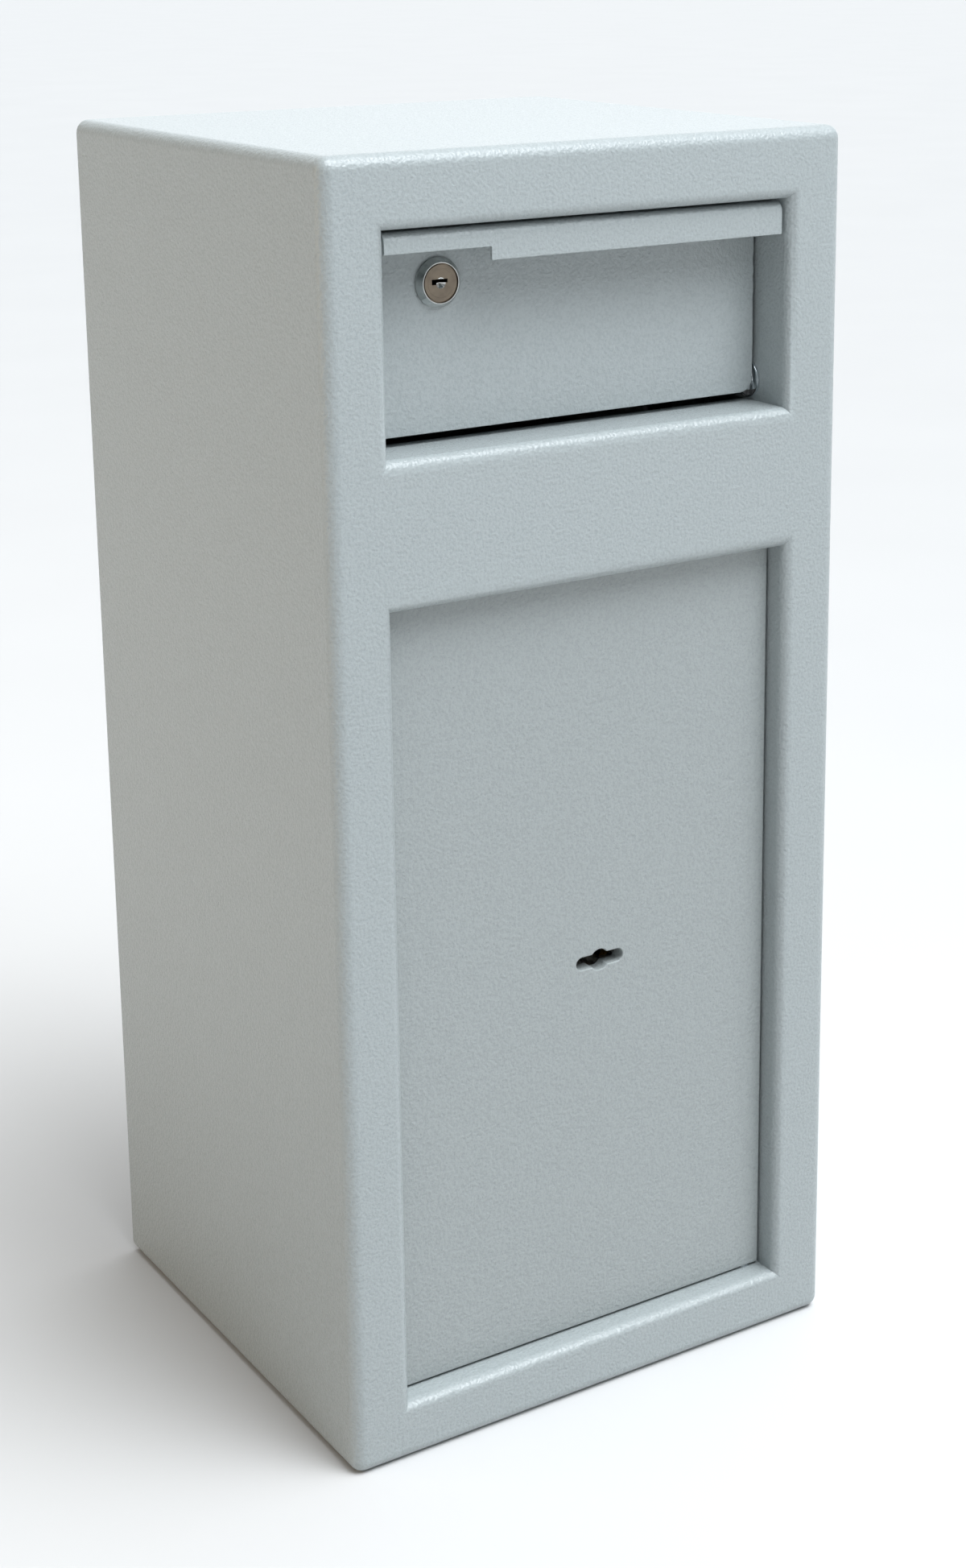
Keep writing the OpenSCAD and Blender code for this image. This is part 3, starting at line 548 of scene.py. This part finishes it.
def buildCollar(s):
    # tapered collar and barrel, turned as one: cone, rim, groove, then the bore for the plug
    flapFace = flapHigh.y - flapSettings["sheet"]
    tall = flapFace - lockLow.y
    collar = newRod((lockMid.x, lockLow.y, lockMid.z), tall - s["edge"], s["faceRadius"], sides=72,
                    topRadius=lockHigh.x - lockMid.x, name="collar")
    startEdit(collar)
    choose("FACE", lambda c, f: f.normal.y > squareOn)
    pull(y=s["edge"])
    bpy.ops.mesh.inset(thickness=lockHigh.x - lockMid.x - s["barrelRadius"], depth=0)
    pull(y=lockHigh.y - flapFace)
    choose("FACE", lambda c, f: f.normal.y < -squareOn)
    stepIn(s["grooveIn"], 0)
    stepIn(s["grooveWall"], s["grooveDepth"])
    stepIn(s["grooveWidth"], s["faceIn"] - s["grooveDepth"])
    endEdit()
    bore = newRod((lockMid.x, lockLow.y - overrun, lockMid.z), lockHigh.y - lockLow.y + 2 * overrun,
                  s["plugRadius"] + s["plugGap"], sides=72, name="bore")
    cutAway(collar, [bore])
    softenEdges(collar, s["rimBevel"], 2, 30)
    return collar


def buildPlug(s):
    # plug with a polished cone round its keyway, which has a ward at its left end
    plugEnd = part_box("flap_lock_plug")[1].y
    faceY = lockLow.y + s["faceIn"]
    plug = newRod((lockMid.x, faceY, lockMid.z), plugEnd - faceY, s["plugRadius"], sides=72, name="plug")
    slope = s["keyRound"] / s["keyDish"]
    proud = 0.3 * mm
    dish = newRod((lockMid.x, faceY - proud, lockMid.z), s["keyDish"] + proud,
                  s["keyRound"] + proud * slope, topRadius=s["keyPoint"], name="dish")
    slotX, slotZ = lockMid.x - s["slotShift"], lockMid.z + s["slotRise"]
    slotStart, slotEnd = slotX - s["slotLong"] / 2, slotX + s["slotLong"] / 2
    nearY, farY = faceY - overrun, faceY + s["slotDeep"]
    slot = newCube((slotStart, nearY, slotZ), (slotEnd, farY, slotZ + s["slotHigh"]), "slot")
    ward = newCube((slotStart, nearY, slotZ - s["wardDown"]),
                   (slotX - s["slotLong"] * s["wardEnd"], farY, slotZ + s["wardUp"]), "ward")
    cutAway(plug, [dish, slot, ward])
    softenEdges(plug, s["plugBevel"], 2, 30)
    return plug


def markFaces(piece, outer, onlySloped):
    # gives the second finish to the front faces inside a radius
    for polygon in piece.data.polygons:
        radius = math.hypot(polygon.center.x - lockMid.x, polygon.center.z - lockMid.z)
        sloped = -0.95 < polygon.normal.y < -0.3
        atFront = polygon.center.y < lockLow.y + lockSettings["faceBack"]
        if radius < outer and atFront and (sloped or not onlySloped):
            polygon.material_index = 1


collar = buildCollar(lockSettings)
finish(collar, "flap_lock_collar", [collarNickel, faceNickel], "hopper", ("flap_lock_barrel",), 30)
plug = buildPlug(lockSettings)
finish(plug, "flap_lock_turning_plug", [faceNickel, coneNickel], "flap_cam", ("flap_lock_plug",), 30)
# the face inside the rim is duller than the collar, and the cone round the keyway is polished
markFaces(collar, lockSettings["faceRadius"] - lockSettings["grooveIn"], False)
markFaces(plug, lockSettings["keyRound"], True)
print("flap lock turned")


doorSettings = {
    "edgeRound": 0.9 * mm,
    "keyholeLong": 29.0 * mm,
    "keyholeHigh": 7.0 * mm,
    "keyholeRound": 11.5 * mm,           # across the round middle of the keyhole
    "keyholeZone": (16.0 * mm, 8.0 * mm),   # half width and height that hold the whole keyhole
    "paintRound": 0.7 * mm,              # softened edge of the keyhole
    "pinBore": 2.55 * mm,                # radius of the hinge pins' bores
    "pinDepth": 16.0 * mm,
}


def buildDoor(s):
    door = newCube(doorLow, doorHigh, "door")
    softenEdges(door, s["edgeRound"], 3, 60)
    cutters = []
    reach = s["keyholeLong"] / 2 - s["keyholeHigh"] / 2
    startY = doorLow.y - overrun
    deep = doorHigh.y - doorLow.y + 2 * overrun
    cutters.append(newCube((keyMid.x - reach, startY, keyMid.z - s["keyholeHigh"] / 2),
                           (keyMid.x + reach, startY + deep, keyMid.z + s["keyholeHigh"] / 2)))
    for side in (-1, 1):
        cutters.append(newRod((keyMid.x + side * reach, startY, keyMid.z), deep,
                              s["keyholeHigh"] / 2, sides=32))
    cutters.append(newRod((keyMid.x, startY, keyMid.z), deep, s["keyholeRound"] / 2))
    cutAway(door, cutters)
    # paint builds up round the keyhole and softens its edge
    startEdit(door, "EDGE")
    zoneX, zoneZ = s["keyholeZone"]
    choose("EDGE", lambda c, e: lies(e, 1, doorLow.y) and abs(c.x - keyMid.x) < zoneX
           and abs(c.z - keyMid.z) < zoneZ and len(e.link_faces) == 2
           and abs(e.link_faces[0].normal.y - e.link_faces[1].normal.y) > 0.5)
    bpy.ops.mesh.bevel(offset=s["paintRound"], segments=3, profile=0.5, affect="EDGES")
    endEdit()
    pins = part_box("door_hinge_pins")
    pinX, pinY = (pins[0].x + pins[1].x) / 2, (pins[0].y + pins[1].y) / 2
    bores = [newRod((pinX, pinY, z), s["pinDepth"] + overrun, s["pinBore"], axis="Z")
             for z in (doorLow.z - overrun, doorHigh.z - s["pinDepth"])]
    cutAway(door, bores)
    return door


door = buildDoor(doorSettings)
# the door takes the darker copy of the coat: painted shade of its recess
finish(door, "collection_door", coatDoorPaintedShade, "door", ("door_plate",), 40)
print("door cut")


washerSettings = {
    "thick": 1.5 * mm,
    "rimWide": 1.1 * mm,
    "rimHigh": 0.55 * mm,
    "seatRadius": 5.0 * mm,      # raised seat round the bore
    "seatHigh": 0.4 * mm,
    "bore": 3.0 * mm,            # radius
    "edgeBevel": 0.2 * mm,
}


def buildWashers(s):
    # dished washer with a raised rim, one against each side of the opening
    washLow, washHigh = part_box("hopper_pivot_washers")
    radius = (washHigh.z - washLow.z) / 2
    midY, midZ = (washLow.y + washHigh.y) / 2, (washLow.z + washHigh.z) / 2
    made = []
    for side in (-1, 1):
        washer = newRod((washHigh.x - s["thick"], midY, midZ), s["thick"], radius, axis="X", sides=64)
        startEdit(washer)
        choose("FACE", lambda c, f: f.normal.x < -squareOn)
        bpy.ops.mesh.inset(thickness=s["rimWide"], depth=0)
        pull(x=s["rimHigh"])
        bpy.ops.mesh.inset(thickness=radius - s["rimWide"] - s["seatRadius"], depth=0)
        pull(x=-s["seatHigh"])
        endEdit()
        bore = newRod((washHigh.x - overrun, midY, midZ), 2 * overrun, s["bore"], axis="X")
        cutAway(washer, [bore])
        softenEdges(washer, s["edgeBevel"], 2, 40)
        if side < 0:
            pick(washer)
            washer.scale = (-1, 1, 1)
            settle(washer)
            startEdit(washer)
            bpy.ops.mesh.select_all(action="SELECT")
            bpy.ops.mesh.normals_make_consistent(inside=False)
            endEdit()
        made.append(washer)
    joinUp(made[0], made[1:])
    return made[0]


washers = buildWashers(washerSettings)
# the washers' pale zinc is a painted highlight
finish(washers, "dished_pivot_washers", washerZincPaintedHighlight, "cabinet", ("hopper_pivot_washers",), 35)
print("pivot washers pressed")


easeSettings = {
    "weld": 0.002 * mm,
    "flat": 1.5,                 # degrees, faces closer than this are made one
    "sharp": 40,                 # degrees, edges sharper than this are eased
    "shade": 32,
}
easedPieces = {
    # node: (new name, body, edge width in mm, material)
    "back_panel": ("back_sheet", "cabinet", 0.4, coatCabinet),
    "base_plate": ("base_sheet", "cabinet", 0.5, coatCabinet),
    "hopper_baffle": ("curved_baffle", "cabinet", 0.3, coatCabinet),
    "cam_keeper": ("keeper_bracket", "cabinet", 0.3, zincPlate),
    "door_stop_frame": ("door_stop_strips", "cabinet", 0.5, coatCabinet),
    "hopper_left_cheek": ("left_cheek", "hopper", 0.3, coatCabinet),
    "hopper_right_cheek": ("right_cheek", "hopper", 0.3, coatCabinet),
    "hopper_rear_plate": ("rear_plate", "hopper", 0.3, coatCabinet),
    "hopper_pivot_pins": ("pivot_pins", "cabinet", 0.4, zincPlate),
    "hopper_pivot_nuts": ("pivot_nuts", "cabinet", 0.5, zincPlate),
    "hopper_rest_pegs": ("rest_pegs", "cabinet", 0.4, zincPlate),
    "hopper_rest_sleeves": ("rest_sleeves", "cabinet", 0.8, blackRubber),
    "flap_lock_nut": ("lock_nut", "hopper", 0.5, zincPlate),
    "flap_lock_cam": ("lock_cam", "flap_cam", 0.3, zincPlate),
    "flap_lock_screw": ("lock_cam_screw", "flap_cam", 0.5, zincPlate),
    "door_hinge_pins": ("hinge_pins", "cabinet", 0.3, zincPlate),
    "door_thrust_washer": ("thrust_washer", "cabinet", 0.15, zincPlate),
    "hinge_side_dead_bar": ("dead_bar", "door", 0.6, coatDoorPaintedShade),
    "bolt_guides": ("guide_blocks", "door", 0.6, coatDoorPaintedShade),
    "bolt_guide_screws": ("guide_screws", "door", 0.4, zincPlate),
    "lock_case": ("lock_case_body", "door", 0.4, zincPlate),
    "lock_case_cover": ("lock_case_plate", "door", 0.4, zincPlate),
    "lock_case_screws": ("lock_screws", "door", 0.5, zincPlate),
    "lever_pivot": ("lever_pin", "door", 0.3, groundSteel),
    "boltwork_cover": ("boltwork_tray", "door", 0.5, coatDoorPaintedShade),
    "boltwork_cover_screws": ("tray_screws", "door", 0.5, zincPlate),
    "bolt_bar": ("carrier_bar", "boltwork", 0.6, zincPlate),
    "locking_bolts": ("round_bolts", "boltwork", 0.5, groundSteel),
    "lock_bolt_tail": ("bolt_tail", "boltwork", 0.3, sawnBrass),
    "key_curtain": ("curtain_drum", "key_drum", 0.25, groundSteel),
    "lock_levers": ("lever_pack", "levers", 0.12, sawnBrass),
}


def easeNode(node, name, body, width, material, s=easeSettings):
    # a copy of the plain piece with its edges eased, and its real finish
    piece = nodes[node].copy()
    piece.data = nodes[node].data.copy()
    for key in list(piece.keys()):
        del piece[key]
    piece.parent = None
    bpy.context.scene.collection.objects.link(piece)
    startEdit(piece, "VERT")
    bpy.ops.mesh.select_all(action="SELECT")
    bpy.ops.mesh.remove_doubles(threshold=s["weld"])
    bpy.ops.mesh.dissolve_limited(angle_limit=math.radians(s["flat"]))
    bpy.ops.mesh.customdata_custom_splitnormals_clear()
    endEdit()
    softenEdges(piece, width * mm, 2, s["sharp"])
    finish(piece, name, material, body, (node,), s["shade"])


for node, (name, body, width, material) in easedPieces.items():
    easeNode(node, name, body, width, material)
print("edges eased on", len(easedPieces), "pieces")


stageSettings = {
    "floorSize": 120.0,
    "floorTints": ("#CACACA", "#CECECE"),
    "floorCloud": 3.0,        # faint clouds on the floor, per metre
    "skyBase": 0.17,          # light from every side
    "horizon": (0.5, 4.0),    # strength and tightness of the pale band round the horizon
    "skyGlows": [             # direction, strength and tightness of each bright part of the sky
        ((0.20, -0.38, 0.90), 12.0, 18.0),
        ((0.55, 0.15, 0.82), 1.2, 14.0),
        ((0.50, 0.80, 0.28), 1.2, 5.0),
    ],
    "skyColour": "#F8FCFF",
    "lamps": [                # power, size, place and colour of each soft lamp
        (29.0, 2.4, (-3.0, 0.9, 0.9), "#FFDDAC"),
        (8.5, 0.9, (0.30, -0.85, 1.60), "#F1F8FF"),
    ],
    "lampAim": (0, 0, 0.4),
    "camera": {"place": (-0.6811, -1.145, 0.7667), "azimuth": 32.845, "drop": 13.908, "roll": -0.43,
               "lens": 58.24, "sensor": 36, "shift": (-0.0411, -0.1507), "sight": 200},
}


def buildStage(s):
    deselectAll()
    bpy.ops.mesh.primitive_plane_add(size=s["floorSize"], location=(0, 0, 0))
    floor = bpy.context.object
    floor.name = "floor"
    material, place = newMaterial("white_floor")
    cloud = addNode(material, "ShaderNodeTexNoise", {"Scale": s["floorCloud"]},
                    {"Vector": place}).outputs["Fac"]
    darker, paler = s["floorTints"]
    tint = addNode(material, "ShaderNodeValToRGB", {"stops": [(0.0, darker), (1.0, paler)]},
                   {"Fac": cloud})
    shader = addNode(material, "ShaderNodeBsdfPrincipled", {"Roughness": 0.9},
                     {"Base Color": tint.outputs["Color"]})
    addNode(material, "ShaderNodeOutputMaterial", links={"Surface": shader.outputs["BSDF"]})
    floor.data.materials.append(material)

    # soft sky: even light, a pale band round the horizon, then its bright parts added one by one
    world = bpy.data.worlds.new("soft_sky")
    bpy.context.scene.world = world
    world.use_nodes = True
    background = world.node_tree.nodes["Background"]
    background.inputs["Color"].default_value = linear(s["skyColour"])
    ray = addNode(world, "ShaderNodeTexCoord").outputs["Generated"]
    strength, tightness = s["horizon"]
    up = addNode(world, "ShaderNodeVectorMath", {"operation": "DOT_PRODUCT", 1: (0, 0, 1)}, {0: ray})
    height = addNode(world, "ShaderNodeMath", {"operation": "ABSOLUTE"}, {0: up.outputs["Value"]})
    level = addNode(world, "ShaderNodeMath", {"operation": "SUBTRACT", 0: 1.0},
                    {1: height.outputs["Value"]})
    band = addNode(world, "ShaderNodeMath", {"operation": "POWER", 1: tightness},
                   {0: level.outputs["Value"]})
    total = addNode(world, "ShaderNodeMath", {"operation": "MULTIPLY_ADD", 1: strength, 2: s["skyBase"]},
                    {0: band.outputs["Value"]})
    for towards, strength, tightness in s["skyGlows"]:
        facing = addNode(world, "ShaderNodeVectorMath",
                         {"operation": "DOT_PRODUCT", 1: Vector(towards).normalized()}, {0: ray})
        lit = addNode(world, "ShaderNodeMath", {"operation": "MAXIMUM", 1: 0.0},
                      {0: facing.outputs["Value"]})
        glow = addNode(world, "ShaderNodeMath", {"operation": "POWER", 1: tightness},
                       {0: lit.outputs["Value"]})
        total = addNode(world, "ShaderNodeMath", {"operation": "MULTIPLY_ADD", 1: strength},
                        {0: glow.outputs["Value"], 2: total.outputs["Value"]})
    world.node_tree.links.new(total.outputs["Value"], background.inputs["Strength"])

    for power, size, place, colour in s["lamps"]:
        bpy.ops.object.light_add(type="AREA", location=place)
        lamp = bpy.context.object
        lamp.data.energy = power
        lamp.data.size = size
        lamp.data.color = linear(colour)[:3]
        aim = Vector(s["lampAim"]) - Vector(place)
        lamp.rotation_euler = aim.to_track_quat("-Z", "Y").to_euler()

    c = s["camera"]
    bpy.ops.object.camera_add(location=c["place"])
    camera = bpy.context.object
    turn = Matrix.Rotation(-math.radians(c["azimuth"]), 4, "Z")
    tilt = Matrix.Rotation(math.radians(90 - c["drop"]), 4, "X")
    roll = Matrix.Rotation(math.radians(c["roll"]), 4, "Z")
    camera.rotation_euler = (turn @ tilt @ roll).to_euler()
    camera.data.lens = c["lens"]
    camera.data.sensor_width = c["sensor"]
    camera.data.shift_x, camera.data.shift_y = c["shift"]
    camera.data.clip_end = c["sight"]
    bpy.context.scene.camera = camera
    bpy.context.scene.view_settings.view_transform = "Standard"


buildStage(stageSettings)
print("stage set")
